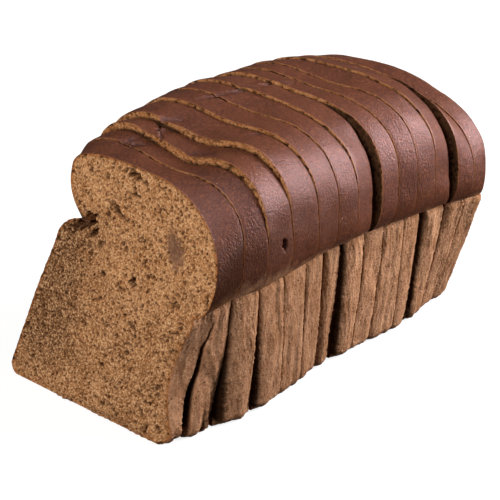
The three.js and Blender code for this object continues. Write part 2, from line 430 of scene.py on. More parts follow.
# Lamps: where they stand, where they point, their sides, power in watts and colour.
LIGHTS = [
    dict(name="key", place=(-1800, -80, 1300), aim=(0, 0, 50), size=(1100, 1100), power=37,
         tint=(1, 0.98, 0.95)),
    dict(name="rim", place=(1280, -880, 1240), aim=(0, 0, 70), size=(1000, 700), power=24,
         tint=(1, 0.97, 0.97)),
    dict(name="fill", place=(370, -380, 270), aim=(100, -40, 50), size=(300, 300), power=3.8,
         tint=(1, 0.98, 0.97)),
    dict(name="top", place=(0, 200, 2000), aim=(0, 0, 60), size=(1200, 1200), power=6,
         tint=(1, 0.97, 0.93)),
]


def smooth(low, high, value):
    """0 at low, 1 at high, eased in between."""
    part = np.clip((value - low) / (high - low), 0, 1)
    return part * part * (3 - 2 * part)


class Noise:
    """A sheet of noise that repeats at its edges, with bumps about one wave across and a spread of 1."""

    def __init__(self, wave, seed):
        white = np.random.default_rng(seed).standard_normal((NOISE_SIDE, NOISE_SIDE))
        down = np.fft.fftfreq(NOISE_SIDE)[:, None]
        along = np.fft.rfftfreq(NOISE_SIDE)[None, :]
        keep = np.exp(-(((np.hypot(down, along) * NOISE_FINENESS - 1) / NOISE_SPREAD) ** 2))
        sheet = np.fft.irfft2(np.fft.rfft2(white) * keep, white.shape)
        self.sheet = sheet / sheet.std()
        self.pitch = wave / NOISE_FINENESS

    def at(self, x, y):
        """The noise at places in millimetres."""
        x = np.asarray(x) / self.pitch
        y = np.asarray(y) / self.pitch
        i = np.floor(x).astype(int)
        j = np.floor(y).astype(int)
        fx = x - i
        fy = y - j
        near = self.sheet[i % NOISE_SIDE, j % NOISE_SIDE] * (1 - fx)
        near += self.sheet[(i + 1) % NOISE_SIDE, j % NOISE_SIDE] * fx
        far = self.sheet[i % NOISE_SIDE, (j + 1) % NOISE_SIDE] * (1 - fx)
        far += self.sheet[(i + 1) % NOISE_SIDE, (j + 1) % NOISE_SIDE] * fx
        return near * (1 - fy) + far * fy


SWELL = Noise(18, 1)
LUMP = Noise(6, 2)
GRAIN = Noise(1.6, 3)
FOLD = Noise(5.5, 4)
FIBRE = Noise(1.3, 5)
UNEVEN = Noise(2.8, 6)
PORE_FINE = Noise(1.2, 8)
RAGGED = Noise(3, 9)


# Outlines of the slices

def half_outline(side, top, place):
    """One side of an outline at places from its foot to its crown: u counted outwards, and v up."""
    corner = math.pi / 2 * np.clip(place / CORNER, 0, 1)
    wall = np.clip((place - CORNER) / (WALL_TOP - CORNER), 0, 1)
    shoulder = math.pi / 2 * np.clip((place - WALL_TOP) / (NOTCH - WALL_TOP), 0, 1)
    under = math.pi / 2 * np.clip((place - NOTCH) / (BULGE - NOTCH), 0, 1)
    cap = math.pi / 2 * np.clip((place - BULGE) / (CROWN - BULGE), 0, 1)
    wall_top = side["notch_height"] - side["shoulder"]
    bulge = side["notch_height"] + side["under"]
    stretch = [place < CORNER, place < WALL_TOP, place < NOTCH, place < BULGE]
    u = np.select(stretch, [
        side["base"] - BASE_RADIUS * (1 - np.sin(corner)),
        side["base"] + (side["wall"] - side["base"]) * wall - side["pinch"] * np.sin(math.pi * wall),
        side["notch"] + (side["wall"] - side["notch"]) * np.cos(shoulder),
        side["notch"] + (side["cap"] - side["notch"]) * np.sin(under),
    ], side["cap"] * np.clip(np.cos(cap), 0, 1) ** (2 / side["square"]))
    v = np.select(stretch, [
        BASE_RADIUS * (1 - np.cos(corner)),
        BASE_RADIUS + (wall_top - BASE_RADIUS) * wall,
        wall_top + side["shoulder"] * np.sin(shoulder),
        side["notch_height"] + side["under"] * (1 - np.cos(under)),
    ], bulge + (top - bulge) * np.sin(cap) ** (2 / side["square"]))
    return u, v


def outline(left, right, top, place):
    """The whole outline, u to the left and v up."""
    left_u, left_v = half_outline(left, top, place)
    right_u, right_v = half_outline(right, top, LAST - place)
    on_left = place <= CROWN
    return np.where(on_left, left_u, -right_u), np.where(on_left, left_v, right_v)


def part_of(low, high, value):
    """0 at low and 1 at high, straight in between."""
    return np.clip((value - low) / (high - low), 0, 1)


def shape_on_cut(cut, drop, tuck, place):
    """The middle outline as it shows on a cut, dropped and tucked in for the slice in front of it."""
    right = dict(MIDDLE, wall=MIDDLE["wall"] + cut["full"], notch=MIDDLE["notch"] + cut["full"])
    left = dict(right, base=MIDDLE["base"] + cut["slump"])
    u, height = outline(left, right, MIDDLE_TOP, place)
    u = u * cut["width"]
    sag = cut["dip"] * np.exp(-(((u - DIP_AT) / DIP_REACH) ** 2))
    v = np.minimum(height, CROWN_FROM) + np.maximum(height - CROWN_FROM, 0) * cut["crown"]
    v = v + part_of(*CAP_HEIGHTS, height) * (cut["tip"] * u - sag - drop)
    u = u + tuck * part_of(*TUCK_HEIGHTS, height) * part_of(*TUCK_WIDTHS, -u) ** 2
    slim = part_of(*SLIM_WIDTHS, u) * part_of(*SLIM_TOP, height) * part_of(*SLIM_FOOT, height)
    return u - cut["slim"] * slim, v


def on_cut(cut, u, v, gap):
    """Points of an outline on a cut, moved forwards by a gap."""
    lean = math.tan(math.radians(cut["lean"]))
    turn = math.tan(math.radians(cut["turn"]))
    x = cut["at"] + v * lean + u * turn - gap
    y = cut["shift"] + u + cut["skew"] * np.minimum(v - CROWN_FROM, 0)
    return np.stack([x, y, v], axis=-1)


def front_outline(number, place):
    """The front outline of a slice."""
    cut = PLAIN | CUTS[number]
    if number == 0:
        u, v = outline(END_LEFT, END_RIGHT, END_TOP, place)
        bend = END_CORNER_BEND * part_of(*END_BEND_WIDTHS, -u) ** 2 * part_of(*END_BEND_HEIGHTS, v)
        return on_cut(cut, u, v, -bend)
    u, v = shape_on_cut(cut, 0, 0, place)
    return on_cut(cut, u, v, 0)


def back_outline(number, place):
    """The back outline of a slice, a little in front of the next cut."""
    cut = PLAIN | CUTS[number + 1]
    if SLICES[number] == HEEL:
        u, v = shape_on_cut(cut, 0, 0, place)
        return on_cut(cut, u, v, 0)
    u, v = shape_on_cut(cut, cut["step"], cut["open"], place)
    right = part_of(*GAP_WIDTHS, -u) ** 2
    left = GAP_LEFT * part_of(*GAP_WIDTHS, u) ** 2
    low = cut["foot"] * part_of(*FOOT_HEIGHTS, v) * (right + left)
    high = OPEN_GAP * cut["open"] * part_of(*OPEN_HEIGHTS, v) * right
    return on_cut(cut, u, v, CLEAR + low + high)


def is_open(number):
    """Whether a cut stands open between the walls."""
    return CUTS[number].get("foot", 0) > OPEN_FOOT


def close_walls(number, places, back):
    """The back outline of a slice, with its walls brought up to the next slice where they press together."""
    if SLICES[number] == HEEL or is_open(number + 1):
        return back
    side = np.minimum(places, LAST - places)
    wall = smooth(*TOUCH_FOOT, side) * (1 - smooth(*TOUCH_TOP, side))
    gap = front_outline(number + 1, places)[:, 0] - back[:, 0] - TOUCH
    return back + np.outer(gap * wall, (1, 0, 0))


def round_heel(points, part):
    """Draws the heel in towards its middle at the back, and keeps its base."""
    middle = points[-1].mean(axis=0)
    inwards = middle - points
    inwards[:, :, 0] = 0
    inwards[:, :, 2] *= smooth(*HEEL_FOOT, points[:, :, 2])
    reach = np.maximum(np.linalg.norm(inwards, axis=2), HEEL_REACH)
    inset = HEEL_INSET * part_of(HEEL_ROUND_FROM, 1, part) ** HEEL_ROUND_POWER
    return points + inwards * (inset[:, None] / reach)[:, :, None]


def even_places(number):
    """Places along a slice's outline that lie an even pitch apart."""
    dense = np.linspace(0, LAST, DENSE_PLACES * LAST + 1)
    steps = np.linalg.norm(np.diff(front_outline(number, dense), axis=0), axis=1)
    length = np.concatenate([[0], np.cumsum(steps)])
    count = int(length[-1] / ROUND_PITCH)
    return np.interp(np.linspace(0, length[-1], count), length, dense)


def closed_outline(points):
    """An outline and the way back along the base to where it began."""
    part = np.linspace(0, 1, BASE_STEPS + 1)[1:, None]
    return np.vstack([points, points[-1] * (1 - part) + points[0] * part])


def row_shift():
    """How far the row is moved so that it lies where the CAD part does."""
    place = np.linspace(0, LAST, COARSE_PLACES * LAST + 1)
    numbers = range(len(SLICES))
    points = np.vstack([ring(n, place) for n in numbers for ring in (front_outline, back_outline)])
    middle = (points.min(axis=0) + points.max(axis=0)) / 2
    cad_middle = np.array((cad_box[0] + cad_box[1]) / 2) / MM
    return np.array([cad_middle[0] - middle[0], cad_middle[1] - middle[1], 0])


ROW_SHIFT = row_shift()


# Relief

class Band:
    """The skin of a slice between its end faces, as a grid of points across its thickness and round it."""

    def __init__(self, name):
        self.name = name
        self.number = SLICES.index(name)
        places = even_places(self.number)
        base_places = LAST + np.linspace(0, 1, BASE_STEPS + 1)[1:]
        self.place = np.concatenate([places, base_places])
        self.side = np.where(self.place <= LAST, np.minimum(self.place, LAST - self.place), 0)
        front = closed_outline(front_outline(self.number, places)) + ROW_SHIFT
        back = close_walls(self.number, places, back_outline(self.number, places))
        back = closed_outline(back) + ROW_SHIFT
        thickness = np.linalg.norm(back - front, axis=1)
        rows = max(int(thickness.max() / ACROSS_PITCH), ACROSS_LEAST)
        even = np.linspace(0, 1, rows + 1)
        self.part = (1 - EDGE_CROWD) * even + EDGE_CROWD * smooth(0, 1, even)
        self.points = front + (back - front) * self.part[:, None, None]
        if name == HEEL:
            self.points = round_heel(self.points, self.part)
        self.across = self.part[:, None] * thickness
        self.round = self.length_round()
        self.normals = self.find_normals()

    def length_round(self):
        """Distance along the outline from the crown."""
        steps = np.linalg.norm(np.diff(self.points, axis=1), axis=2)
        length = np.concatenate([np.zeros((len(self.part), 1)), np.cumsum(steps, axis=1)], axis=1)
        crown = np.argmin(np.abs(self.place - CROWN))
        return length - length[:, crown : crown + 1]

    def find_normals(self):
        """Outward directions."""
        along = np.gradient(self.points, axis=1)
        along[:, 0] = along[:, -1] = self.points[:, 1] - self.points[:, -2]
        across = np.gradient(self.points, self.part, axis=0)
        normals = np.cross(along, across)
        return normals / np.maximum(np.linalg.norm(normals, axis=2), SMALL)[:, :, None]

    def raise_by(self, height):
        """Moves the skin outwards, but not below the base, and closes it where it begins and ends."""
        self.points = self.points + self.normals * height[:, :, None]
        self.points[:, :, 2] = np.maximum(self.points[:, :, 2], 0)
        self.points[:, -1] = self.points[:, 0]

    def xyz(self):
        """The places of its points along the three axes."""
        return np.moveaxis(self.points, -1, 0)


def line_distance(x, y, start, end):
    """How far places lie from a line between two points."""
    dx = end[0] - start[0]
    dy = end[1] - start[1]
    part = np.clip(((x - start[0]) * dx + (y - start[1]) * dy) / (dx * dx + dy * dy), 0, 1)
    return np.hypot(x - start[0] - part * dx, y - start[1] - part * dy)


def crust_marks(band):
    """Depth of the cracks and dents on top of the crust, and how strongly painted shade darkens a crack."""
    x, y, _ = band.xyz()
    on_top = band.normals[:, :, 2] > UPWARD
    depth = np.zeros_like(x)
    crack_shade = np.zeros_like(x)
    wander = CRACK_WANDER * RAGGED.at(x, y)
    for start, end, half_width, deep in CRACKS:
        shape = np.exp(-((line_distance(x + wander, y - wander, start, end) / half_width) ** 2)) * on_top
        depth += deep * shape
        crack_shade = np.maximum(crack_shade, shape * min(deep, 1))
    for at_x, at_y, radius, deep in DENTS:
        depth += deep * np.exp(-(((x - at_x) ** 2 + (y - at_y) ** 2) / radius**2)) * on_top
    return depth, crack_shade


def crust_hole(band):
    """Depth of the hole in the crust, nought elsewhere."""
    at_x, at_z, half_x, half_z, deep = CRUST_HOLE
    x, y, z = band.xyz()
    along = x - at_x
    up = z - at_z
    ragged = HOLE_RAGGED * RAGGED.at(along * HOLE_FINENESS, up * HOLE_FINENESS)
    away = np.hypot(along / half_x, up / half_z) + ragged
    return deep * (1 - smooth(*HOLE_WALL, away)) * (y < HOLE_RIGHT)


def split_depth(band):
    """Depth of the split in the right wall of the first slice."""
    _, y, z = band.xyz()
    low = np.clip(1 - z / SPLIT_TOP, 0, 1)
    wander = SPLIT_WANDER * RAGGED.at(z / SPLIT_WANDER_UP, np.zeros_like(z))
    line = SPLIT_FOOT + SPLIT_SLOPE * z + wander
    half_width = SPLIT_HALF_WIDTH * (SPLIT_TIP + low)
    near = np.clip(1 - np.abs(band.part[:, None] - line) / half_width, 0, 1)
    on_right = smooth(*SPLIT_RIGHT, -y)
    return SPLIT_DEPTH * low**SPLIT_TAPER * near**SPLIT_ROUND * on_right


def wall_relief(band, wall):
    """Folds and fibres that run up the walls."""
    x, y, _ = band.xyz()
    up = band.round
    sway = SWAY * LUMP.at(x / SWAY_ALONG, up / SWAY_UP)
    folds = FOLD.at(x + sway, up / FOLD_UP)
    fine = FIBRE.at(x + sway, up / FIBRE_UP)
    rough = GRAIN.at(x, up)
    strength = FOLD_HEIGHT
    if band.name == FIRST:
        more = smooth(*FIRST_FOLD_ACROSS, band.across) * smooth(*FIRST_FOLD_RIGHT, y)
        strength = FIRST_FOLD_LEAST + FIRST_FOLD_MORE * more
    return wall * (strength * folds + FIBRE_HEIGHT * fine + ROUGH_HEIGHT * rough)


def cap_relief(band, cap):
    """Slow unevenness and grain of the crust."""
    x = band.points[:, :, 0]
    up = band.round
    return cap * (CAP_SWELL * SWELL.at(x, up) + CAP_LUMP * LUMP.at(x, up) + CAP_GRAIN * GRAIN.at(x, up))


def edge_relief(band, wall, cap):
    """How far the skin falls away towards the cut edges, most where a cut has opened."""
    up = band.round
    from_back = band.across[-1] - band.across
    fall = np.zeros_like(up)
    low = part_of(*GROOVE_HEIGHTS, band.points[:, :, 2])
    for number, away in ((band.number, band.across), (band.number + 1, from_back)):
        top_fall, foot_fall, top_reach, foot_reach = GROOVES.get(number, PLAIN_GROOVE)
        ragged = 1 + GROOVE_RAGGED * RAGGED.at(up, np.full_like(up, GROOVE_ROW * number))
        on_wall = (top_fall + (foot_fall - top_fall) * low) * ragged
        fall += wall * on_wall * np.exp(-away / (top_reach + (foot_reach - top_reach) * low))
        fall += cap * CAP_EDGE_ROUND * np.exp(-away / CAP_EDGE_REACH)
    return -fall


def work_band(band):
    """Puts the relief on a slice's skin and keeps what its material reads."""
    side = band.side[None, :]
    everywhere = np.ones_like(band.across)
    wall = smooth(*WALL_FOOT, side) * (1 - smooth(*WALL_END, side)) * everywhere
    cap = smooth(*CAP_START, side) * everywhere
    marks, crack_shade = crust_marks(band)
    hole = crust_hole(band) if band.name == HOLE_SLICE else np.zeros_like(marks)
    split = split_depth(band) if band.name == FIRST else np.zeros_like(marks)
    relief = wall_relief(band, wall) + cap_relief(band, cap) + edge_relief(band, wall, cap)
    band.raise_by(relief - marks - hole - split)
    start, fade = CRUST_FADES.get(band.number, CRUST_FADE)
    uneven = CRUST_UNEVEN * LUMP.at(band.points[:, :, 0], band.round)
    # Painted shade low on the cap and on the walls of some slices, where less light falls.
    low_cap_shade = CAP_SHADES.get(band.number, 0) * smooth(*LOW_CAP, side) * cap
    shade = np.maximum(low_cap_shade, WALL_SHADES.get(band.number, 0) * wall)
    # Painted shade in the grooves, by how far the skin falls away.
    groove_shade = wall * smooth(*GROOVE_SHADE, -relief)
    band.values = {
        "crust": smooth(start, start + fade, side + uneven),
        # Painted shade in the cracks and the hole.
        "crack_shade": np.maximum(crack_shade, smooth(*HOLE_SHADE, hole)),
        "edge": 1 - smooth(*EDGE_FADE, band.across),
        "deep": np.maximum(np.maximum(smooth(*SPLIT_SHADE, split), groove_shade), shade),
    }


# Crumb

class Pores:
    """Small oval pores scattered over the plane of the cut faces."""

    def __init__(self):
        random = np.random.default_rng(PORE_SEED)
        (low_y, high_y), (low_z, high_z) = PORE_FIELD
        count = int((high_y - low_y) * (high_z - low_z) * PORE_DENSITY)
        self.y = random.uniform(low_y, high_y, count)
        self.z = random.uniform(low_z, high_z, count)
        sizes = random.lognormal(math.log(PORE_SIZE), PORE_SPREAD, count)
        self.half_width = np.clip(sizes, *PORE_LIMITS)
        self.half_length = self.half_width * random.uniform(1, PORE_LONGEST, count)
        self.turn = random.uniform(0, math.pi, count)
        self.tree = KDTree(count)
        for i in range(count):
            self.tree.insert((self.y[i], self.z[i], 0), i)
        self.tree.balance()

    def depth(self, y, z):
        """How deep the pores are at places on a face, from 0 to 1."""
        hits = [self.tree.find_n((*place, 0), PORE_NEAR) for place in zip(y, z)]
        near = np.array([[hit[1] for hit in hit_set] for hit_set in hits])
        dy = y[:, None] - self.y[near]
        dz = z[:, None] - self.z[near]
        along = dy * np.cos(self.turn[near]) + dz * np.sin(self.turn[near])
        across = dz * np.cos(self.turn[near]) - dy * np.sin(self.turn[near])
        away = np.hypot(along / self.half_length[near], across / self.half_width[near]).min(axis=1)
        fine = FINE_PORE_DEPTH * smooth(*FINE_PORE_WALL, PORE_FINE.at(y, z))
        return np.maximum(1 - smooth(*PORE_WALL, away), fine)


PORES = Pores()


def turned(y, z, at_y, at_z, degrees):
    """Places counted from a point along an axis turned from Y towards Z."""
    turn = math.radians(degrees)
    dy = y - at_y
    dz = z - at_z
    return dy * math.cos(turn) + dz * math.sin(turn), dz * math.cos(turn) - dy * math.sin(turn)


def face_holes(y, z):
    """Depth of the larger holes in the cut face."""
    depth = np.zeros_like(y)
    for at_y, at_z, half_length, half_width, degrees, deep in FACE_HOLES:
        along, across = turned(y, z, at_y, at_z, degrees)
        away = np.hypot(along / half_length, across / half_width) + FACE_HOLE_RAGGED * UNEVEN.at(y, z)
        depth = np.maximum(depth, deep * (1 - smooth(*FACE_HOLE_WALL, away)))
    return depth


def face_patch(y, z):
    """1 in the smooth patch of the cut face, 0 away from it."""
    at_y, at_z, half_width, half_height, degrees = FACE_PATCH
    along, across = turned(y, z, at_y, at_z, degrees)
    away = np.hypot(along / half_width, across / half_height) + PATCH_RAGGED * UNEVEN.at(y, z)
    return 1 - smooth(*PATCH_EDGE, away)


def painted_face_shade(y, z):
    """How much painted shade darkens the crumb of the cut face, most on its left and more low down."""
    left = smooth(*DARK_ACROSS, y + DARK_WANDER * SWELL.at(y, z))
    left = left * smooth(*DARK_TOP, z) * smooth(*DARK_FOOT, z)
    return np.maximum(left, DARK_LOW * smooth(*DARK_LOW_HEIGHTS, z))


class Piece:
    """Points, faces and point values of one slice, gathered from its skin and its end faces."""

    def __init__(self):
        self.points = []
        self.faces = []
        self.kinds = []
        self.values = []
        self.count = 0

    def add(self, points, faces, kind, values):
        """Takes in some points and the triangles or quads between them."""
        self.points.append(points)
        self.faces += [(np.asarray(face_set) + self.count) for face_set in faces]
        self.kinds += [np.full(len(face_set), kind) for face_set in faces]
        self.values.append(values)
        self.count += len(points)


# Places of the two materials on a slice, the kind of filling that keeps to the inside of a border, and the
# values kept on a slice's points.
CRUST = 0
CRUMB = 1
INSIDE = 1
VALUES = ("crust", "crack_shade", "edge", "deep", "pore", "patch", "face_shade")


def grid_faces(rows, columns):
    """Quads of a grid of points, row after row."""
    corner = np.arange((rows - 1) * columns).reshape(rows - 1, columns)[:, :-1].ravel()
    return np.stack([corner, corner + 1, corner + columns + 1, corner + columns], axis=1)


def end_faces(rows, columns, front):
    """Faces of an end face made of rings, the last of which is a single point."""
    quads = grid_faces(rows - 1, columns)
    corner = (rows - 2) * columns + np.arange(columns - 1)
    fan = np.stack([corner, corner + 1, np.full_like(corner, (rows - 1) * columns)], axis=1)
    return [quads, fan] if front else [quads[:, ::-1], fan[:, ::-1]]


def gathered(rings):
    """Points or values of an end face in one row, with the last ring taken once."""
    return np.concatenate([rings[:-1].reshape(-1, *rings.shape[2:]), rings[-1, :1]])


def add_band(piece, band):
    """The skin of a slice."""
    rows, columns = band.across.shape
    values = {name: value.ravel() for name, value in band.values.items()}
    piece.add(band.points.reshape(-1, 3), [grid_faces(rows, columns)], CRUST, values)


def face_middle(band, rim):
    """The point of an end face halfway between its notches."""
    left = np.argmin(np.abs(band.place - NOTCH))
    right = np.argmin(np.abs(band.place - (LAST - NOTCH)))
    return (rim[left] + rim[right]) / 2


def in_shadow(band, middle, points):
    """Painted shadow on a front face: how deep its points lie in the gap behind the slice in front, from 0 to
    1.
    """
    places = np.minimum(band.place, LAST)
    before = back_outline(band.number - 1, places) + ROW_SHIFT
    reach = np.linalg.norm((before - middle)[:, 1:], axis=1)
    away = np.linalg.norm((points - middle)[:, :, 1:], axis=2)
    opened = (PLAIN | CUTS[band.number])["open"] * smooth(*SHADOW_RIGHT, before[:, 1])
    return smooth(*SHADOW_SPAN, reach - away + opened)


def add_strip_face(piece, rim, steps, front, band):
    """An end face in strips that follow the rim inwards to a middle point."""
    middle = face_middle(band, rim)
    reach = np.linalg.norm(rim - middle, axis=1)[:, None]
    rings = [rim]
    for step in steps:
        rings.append(rim + (middle - rim) * np.minimum(step / reach, INMOST))
    rings.append(np.repeat(middle[None, :], len(rim), axis=0))
    points = np.array(rings)
    values = {"edge": gathered(np.full(points.shape[:2], RIM_TINT))}
    if front:
        # Painted shadow in the gap behind the slice in front, kept as deep.
        values["deep"] = gathered(in_shadow(band, middle, points))
        # The pores are sunk into the face, and their depth also darkens it as painted shade.
        pore = PORES.depth(points[:, :, 1].ravel(), points[:, :, 2].ravel()).reshape(points.shape[:2])
        values["pore"] = gathered(pore)
        points[1:, :, 0] += PORE_DEPTH * pore[1:]
    piece.add(gathered(points), end_faces(len(rings), len(rim), front), CRUMB, values)


def lean_of(rim):
    """A function that gives the cut end's place along the row from y and z, fitted to its rim."""
    def terms(y, z):
        corner = part_of(*END_BEND_WIDTHS, -y) ** 2 * part_of(*END_BEND_HEIGHTS, z)
        return np.stack([np.ones_like(y), y, z, corner], axis=-1)

    weights = np.linalg.lstsq(terms(rim[:, 1], rim[:, 2]), rim[:, 0], rcond=None)[0]
    return lambda y, z: terms(y, z) @ weights


def rim_distance(border, places):
    """The nearest point of a border to each place, and how far away it is."""
    tree = KDTree(len(border))
    for i, (y, z) in enumerate(border.tolist()):
        tree.insert((y, z, 0), i)
    tree.balance()
    hits = [tree.find((y, z, 0)) for y, z in places.tolist()]
    return np.array([hit[1] for hit in hits]), np.array([hit[2] for hit in hits])


def fine_face(border):
    """Points spread finely inside a border, and the triangles between them, which all face forwards."""
    low = border.min(axis=0)
    high = border.max(axis=0)
    steps = [np.arange(low[i], high[i], FACE_PITCH) for i in range(2)]
    grid = np.stack(np.meshgrid(*steps))
    random = np.random.default_rng(FACE_SEED)
    grid = grid + random.uniform(-FACE_JITTER, FACE_JITTER, grid.shape) * FACE_PITCH
    flat = [Vector(point) for point in np.vstack([border, grid.reshape(2, -1).T]).tolist()]
    count = len(border)
    edges = [(i, (i + 1) % count) for i in range(count)]
    found = delaunay_2d_cdt(flat, edges, [list(range(count))], INSIDE, FACE_MERGE)
    places = np.array([point[:] for point in found[0]])
    faces = np.array([face for face in found[2] if len(face) == 3])
    corners = places[faces]
    ahead = corners[:, 1] - corners[:, 0]
    aside = corners[:, 2] - corners[:, 0]
    backwards = ahead[:, 0] * aside[:, 1] - ahead[:, 1] * aside[:, 0] > 0
    faces[backwards] = faces[backwards][:, ::-1]
    return places, faces


def add_cut_face(piece, rim):
    """The open cut end of the loaf, meshed finely enough to hold its pores."""
    border = rim[:-1, 1:]
    places, faces = fine_face(border)
    y, z = places.T
    lean = lean_of(rim)
    nearest, from_rim = rim_distance(border, places)
    off_rim = (rim[:-1, 0] - lean(*border.T))[nearest]
    x = lean(y, z) + off_rim * (1 - smooth(*FACE_LEVEL, from_rim))
    holes = face_holes(y, z)
    patch = face_patch(y, z)
    pore = PORES.depth(y, z) * (1 - PATCH_PORES_LOST * patch)
    relief = FACE_SWELL * SWELL.at(y, z) + PORE_DEPTH * pore + holes + PATCH_DEPTH * patch
    x += relief * smooth(*FACE_RIM, from_rim)
    # Painted shade: the pores and holes darken the crumb, and so do the left and the foot of the face.
    values = {
        "edge": 1 - smooth(*CRUST_RIM, from_rim + RIM_UNEVEN * UNEVEN.at(y, z)),
        "pore": np.maximum(pore, smooth(*FACE_HOLE_SHADE, holes)),
        "patch": patch,
        "face_shade": painted_face_shade(y, z),
    }
    piece.add(np.column_stack([x, y, z]), [faces], CRUMB, values)


def add_heel_back(piece, band):
    """The crusted back of the heel, rounded over from its rim."""
    rim = band.points[-1]
    part = np.linspace(0, 1, HEEL_RINGS)[:, None] ** HEEL_CROWD
    points = rim + (face_middle(band, rim) - rim) * part[:, :, None]
    y = points[:, :, 1]
    z = points[:, :, 2]
    dome = HEEL_DOME * smooth(*HEEL_DOME_PART, part) + HEEL_SWELL * SWELL.at(y, z)
    points[:, :, 0] += dome * smooth(*HEEL_RIM_PART, part)
    height = z + HEEL_CRUST_UNEVEN * LUMP.at(y, z)
    values = {"crust": gathered(smooth(*HEEL_CRUST_HEIGHTS, height))}
    piece.add(gathered(points), end_faces(len(points), len(rim), False), CRUST, values)


def make_mesh(name, piece):
    """A Blender mesh of a gathered slice."""
    places = np.vstack(piece.points) * MM
    mesh = bpy.data.meshes.new(name)
    sizes = np.concatenate([np.full(len(faces), faces.shape[1]) for faces in piece.faces])
    corners = np.concatenate([faces.ravel() for faces in piece.faces])
    starts = np.concatenate([[0], np.cumsum(sizes)[:-1]])
    mesh.vertices.add(len(places))
    mesh.vertices.foreach_set("co", places.astype(np.float32).ravel())
    mesh.loops.add(len(corners))
    mesh.loops.foreach_set("vertex_index", corners.astype(np.int32))
    mesh.polygons.add(len(sizes))
    mesh.polygons.foreach_set("loop_start", starts.astype(np.int32))
    mesh.polygons.foreach_set("material_index", np.concatenate(piece.kinds).astype(np.int32))
    mesh.update(calc_edges=True)
    mesh.shade_smooth()
    for value_name in VALUES:
        sets = zip(piece.points, piece.values)
        value = np.concatenate([values.get(value_name, np.zeros(len(points))) for points, values in sets])
        attribute = mesh.attributes.new(value_name, "FLOAT", "POINT")
        attribute.data.foreach_set("value", value.astype(np.float32))
    mesh.validate()
    return mesh


# Materials

# Sockets of a mix node's part, its two colours and its result.
MIX_PART = 0
MIX_FIRST = 6
MIX_SECOND = 7
MIX_RESULT = 2


class Nodes:
    """Short ways to add and join shader nodes in one material."""

    def __init__(self, name):
        self.material = bpy.data.materials.new(name)
        self.material.use_nodes = True
        self.tree = self.material.node_tree
        self.shader = self.tree.nodes["Principled BSDF"]
        self.place = self.tree.nodes.new("ShaderNodeTexCoord").outputs["Object"]

    def join(self, value, socket):
        """Links a socket, or sets a plain value on it."""
        if isinstance(value, bpy.types.NodeSocket):
            self.tree.links.new(value, socket)
        else:
            socket.default_value = value

    def feed(self, name, value):
        """Links or sets an input of the material's shader."""
        self.join(value, self.shader.inputs[name])

    def value(self, name):
        """A value kept on the mesh's points."""
        node = self.tree.nodes.new("ShaderNodeAttribute")
        node.attribute_name = name
        return node.outputs["Fac"]

    def math(self, operation, a, b):
        """A sum on two values, kept between 0 and 1."""
        node = self.tree.nodes.new("ShaderNodeMath")
        node.operation = operation
        node.use_clamp = True
        for value, socket in zip((a, b), node.inputs):
            self.join(value, socket)
        return node.outputs[0]

    def noise(self, wave, detail, rough=0.5, stretch=(1, 1, 1)):
        """Noise with bumps about wave millimetres across."""
        spread = self.tree.nodes.new("ShaderNodeMapping")
        spread.inputs["Scale"].default_value = stretch
        self.join(self.place, spread.inputs["Vector"])
        node = self.tree.nodes.new("ShaderNodeTexNoise")
        node.inputs["Scale"].default_value = 1 / (wave * MM)
        node.inputs["Detail"].default_value = detail
        node.inputs["Roughness"].default_value = rough
        self.join(spread.outputs[0], node.inputs["Vector"])
        return node.outputs["Fac"]

    def specks(self, wave, size):
        """1 in small dots about wave millimetres apart."""
        node = self.tree.nodes.new("ShaderNodeTexVoronoi")
        node.inputs["Scale"].default_value = 1 / (wave * MM)
        self.join(self.place, node.inputs["Vector"])
        return self.span(node.outputs["Distance"], size, size * DOT_CORE)

    def span(self, value, low, high, to_low=0.0, to_high=1.0):
        """A value brought from one span to another."""
        node = self.tree.nodes.new("ShaderNodeMapRange")
        for number, socket in zip((value, low, high, to_low, to_high), node.inputs):
            self.join(number, socket)
        return node.outputs[0]

    def mix(self, part, a, b):
        """Two colours mixed by a part from 0 to 1."""
        node = self.tree.nodes.new("ShaderNodeMix")
        node.data_type = "RGBA"
        self.join(part, node.inputs[MIX_PART])
        self.join(a, node.inputs[MIX_FIRST])
        self.join(b, node.inputs[MIX_SECOND])
        return node.outputs[MIX_RESULT]

    def lay(self, base, value, look):
        """A look's colour laid over a base by a value, within the look's span if it has one."""
        part = self.span(value, *look["span"]) if "span" in look else value
        return self.mix(self.math("MULTIPLY", part, look["strength"]), base, colour(look["screen"]))

    def bump(self, height, distance, strength):
        """A bumped normal of the given depth in millimetres."""
        node = self.tree.nodes.new("ShaderNodeBump")
        node.inputs["Distance"].default_value = distance * MM
        node.inputs["Strength"].default_value = strength
        self.join(height, node.inputs["Height"])
        return node.outputs[0]


def colour(screen):
    """A shader colour from screen values of 0 to 255, by the usual screen curve."""
    def linear(value):
        value /= 255
        return value / 12.92 if value <= 0.04045 else ((value + 0.055) / 1.055) ** 2.4

    return (*(linear(value) for value in screen), 1)


